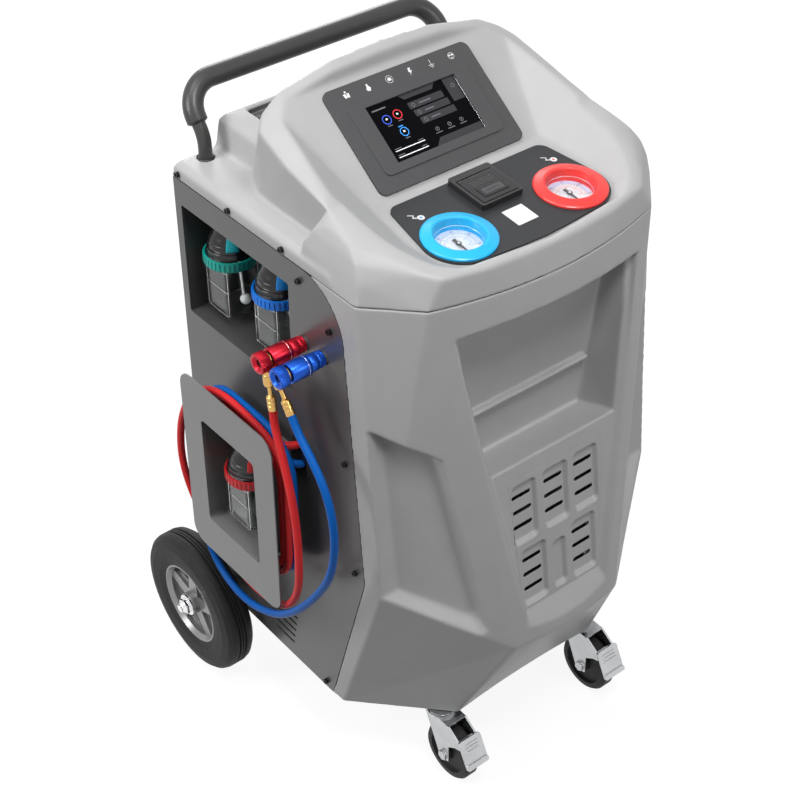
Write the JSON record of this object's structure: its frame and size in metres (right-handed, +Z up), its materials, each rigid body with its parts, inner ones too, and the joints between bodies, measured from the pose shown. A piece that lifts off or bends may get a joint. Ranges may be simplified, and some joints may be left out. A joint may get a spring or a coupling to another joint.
{
  "type": "refrigerant recovery machine",
  "caption": "Wheeled service station that recovers and recharges vehicle refrigerant, with a sloped touch display, pressure gauges, printer, oil bottles and parked hoses.",
  "frame": {"origin": "on the floor, under the middle of the machine's box without its hoses", "axes": "+Z up, -Y out of the front, +X to the right of a person facing the front"},
  "size_m": [0.716, 0.694, 1.112],
  "materials": {
    "chassis": "satin",
    "steel_panel": "fine matt",
    "front_cover": "moulded, fine grain",
    "top_cover": "moulded, fine grain",
    "screw": "black oxide",
    "handle": "satin",
    "grip": "soft matt",
    "axle": "polished",
    "tyre": "matt",
    "rim": "satin",
    "zinc": "zinc plated",
    "caster_tread": "matt",
    "dark_panel": "satin",
    "screen": "gloss",
    "plate": "satin",
    "cyan": "gloss",
    "coral": "gloss",
    "dial": "matt",
    "clear": "clear",
    "needle": "matt",
    "black": "satin",
    "teal": "satin",
    "blue": "satin",
    "maroon": "satin",
    "jar": "clear",
    "red_alu": "anodised",
    "blue_alu": "anodised",
    "brass": "turned",
    "red_hose": "smooth",
    "blue_hose": "smooth",
    "coil": "smooth",
    "inner_steel": "painted",
    "inner_alu": "mill"
  },
  "bodies": {
    "machine": {"chassis": "chassis", "left_side_panel": "steel_panel", "right_side_panel": "steel_panel", "rear_panel": "steel_panel", "front_cover": "front_cover", "top_cover": "top_cover", "panel_screws": "screw", "handle_tube": "handle", "handle_grip": "grip", "rear_axle": "axle", "caster_stems": "zinc", "display_panel": "dark_panel", "touch_screen": "screen", "instrument_plate": "plate", "low_gauge_bezel": "cyan", "high_gauge_bezel": "coral", "gauge_cases": "dial", "gauge_glasses": "clear", "printer_body": "black", "bottle_pocket": "steel_panel", "hose_hanger": "steel_panel", "hose_grommet": "black", "bottle_heads": "black", "coupler_posts": "zinc", "coupler_cores": "black", "hose_fittings": "brass", "red_hose": "red_hose", "blue_hose": "blue_hose", "hose_coil": "coil", "refrigerant_tank": "inner_steel", "tank_scale": "inner_steel", "compressor": "inner_steel", "vacuum_pump": "inner_steel", "condenser": "inner_alu", "filter_manifold": "inner_alu", "power_inlet": "black"},
    "left_wheel": {"left_tyre": "tyre", "left_rim": "rim"},
    "right_wheel": {"right_tyre": "tyre", "right_rim": "rim"},
    "left_caster": {"left_caster_fork": "zinc"},
    "right_caster": {"right_caster_fork": "zinc"},
    "left_roller": {"left_caster_wheel": "caster_tread"},
    "right_roller": {"right_caster_wheel": "caster_tread"},
    "left_brake": {"left_caster_pedal": "zinc"},
    "right_brake": {"right_caster_pedal": "zinc"},
    "paper_lid": {"printer_lid": "black"},
    "low_needle": {"low_gauge_needle": "needle"},
    "high_needle": {"high_gauge_needle": "needle"},
    "red_sleeve": {"red_coupler_sleeve": "red_alu"},
    "blue_sleeve": {"blue_coupler_sleeve": "blue_alu"},
    "red_knob": {"red_coupler_knob": "red_alu"},
    "blue_knob": {"blue_coupler_knob": "blue_alu"},
    "green_bottle": {"green_collar": "teal", "green_jar": "jar"},
    "blue_bottle": {"blue_collar": "blue", "blue_jar": "jar"},
    "red_bottle": {"red_collar": "maroon", "red_jar": "jar"},
    "fan": {"cooling_fan": "black"}
  },
  "joints": [
    {"name": "left_wheel_spin", "type": "hinge", "parent": "machine", "child": "left_wheel", "pos_m": [-0.315, 0.22, 0.127], "axis": [1, 0, 0], "continuous": true},
    {"name": "left_caster_swivel", "type": "hinge", "parent": "machine", "child": "left_caster", "pos_m": [-0.152, -0.224, 0.12], "axis": [0, 0, 1], "continuous": true},
    {"name": "left_caster_spin", "type": "hinge", "parent": "left_caster", "child": "left_roller", "pos_m": [-0.152, -0.254, 0.05], "axis": [1, 0, 0], "continuous": true},
    {"name": "left_brake_pedal", "type": "hinge", "parent": "left_caster", "child": "left_brake", "pos_m": [-0.152, -0.284, 0.098], "axis": [1, 0, 0], "range_deg": [0, 12]},
    {"name": "right_wheel_spin", "type": "hinge", "parent": "machine", "child": "right_wheel", "pos_m": [0.315, 0.22, 0.127], "axis": [1, 0, 0], "continuous": true},
    {"name": "right_caster_swivel", "type": "hinge", "parent": "machine", "child": "right_caster", "pos_m": [0.152, -0.224, 0.12], "axis": [0, 0, 1], "continuous": true},
    {"name": "right_caster_spin", "type": "hinge", "parent": "right_caster", "child": "right_roller", "pos_m": [0.152, -0.254, 0.05], "axis": [1, 0, 0], "continuous": true},
    {"name": "right_brake_pedal", "type": "hinge", "parent": "right_caster", "child": "right_brake", "pos_m": [0.152, -0.284, 0.098], "axis": [1, 0, 0], "range_deg": [0, 12]},
    {"name": "printer_lid_hinge", "type": "hinge", "parent": "machine", "child": "paper_lid", "pos_m": [0, -0.09451, 0.98302], "axis": [-1, 0, 0], "range_deg": [0, 80]},
    {"name": "low_gauge_needle_turn", "type": "hinge", "parent": "machine", "child": "low_needle", "pos_m": [-0.101, -0.17883, 0.95722], "axis": [0, -0.0872, 0.9962], "range_deg": [-300, 0], "stiffness_Nm_per_rad": 0.0002},
    {"name": "high_gauge_needle_turn", "type": "hinge", "parent": "machine", "child": "high_needle", "pos_m": [0.101, -0.17883, 0.95722], "axis": [0, -0.0872, 0.9962], "range_deg": [-300, 0], "stiffness_Nm_per_rad": 0.0002},
    {"name": "red_sleeve_slide", "type": "slide", "parent": "machine", "child": "red_sleeve", "axis": [-1, 0, 0], "range_m": [0, 0.0035], "stiffness_N_per_m": 800},
    {"name": "red_knob_turn", "type": "hinge", "parent": "machine", "child": "red_knob", "pos_m": [-0.341, -0.054, 0.803], "axis": [-1, 0, 0], "range_deg": [0, 720]},
    {"name": "blue_sleeve_slide", "type": "slide", "parent": "machine", "child": "blue_sleeve", "axis": [-1, 0, 0], "range_m": [0, 0.0035], "stiffness_N_per_m": 800},
    {"name": "blue_knob_turn", "type": "hinge", "parent": "machine", "child": "blue_knob", "pos_m": [-0.341, -0.097, 0.803], "axis": [-1, 0, 0], "range_deg": [0, 720]},
    {"name": "green_bottle_drop", "type": "slide", "parent": "machine", "child": "green_bottle", "axis": [0, 0, -1], "range_m": [0, 0.012]},
    {"name": "blue_bottle_drop", "type": "slide", "parent": "machine", "child": "blue_bottle", "axis": [0, 0, -1], "range_m": [0, 0.012]},
    {"name": "red_bottle_drop", "type": "slide", "parent": "machine", "child": "red_bottle", "axis": [0, 0, -1], "range_m": [0, 0.012]},
    {"name": "fan_spin", "type": "hinge", "parent": "machine", "child": "fan", "pos_m": [0, -0.214, 0.453], "axis": [0, -1, 0], "continuous": true}
  ]
}
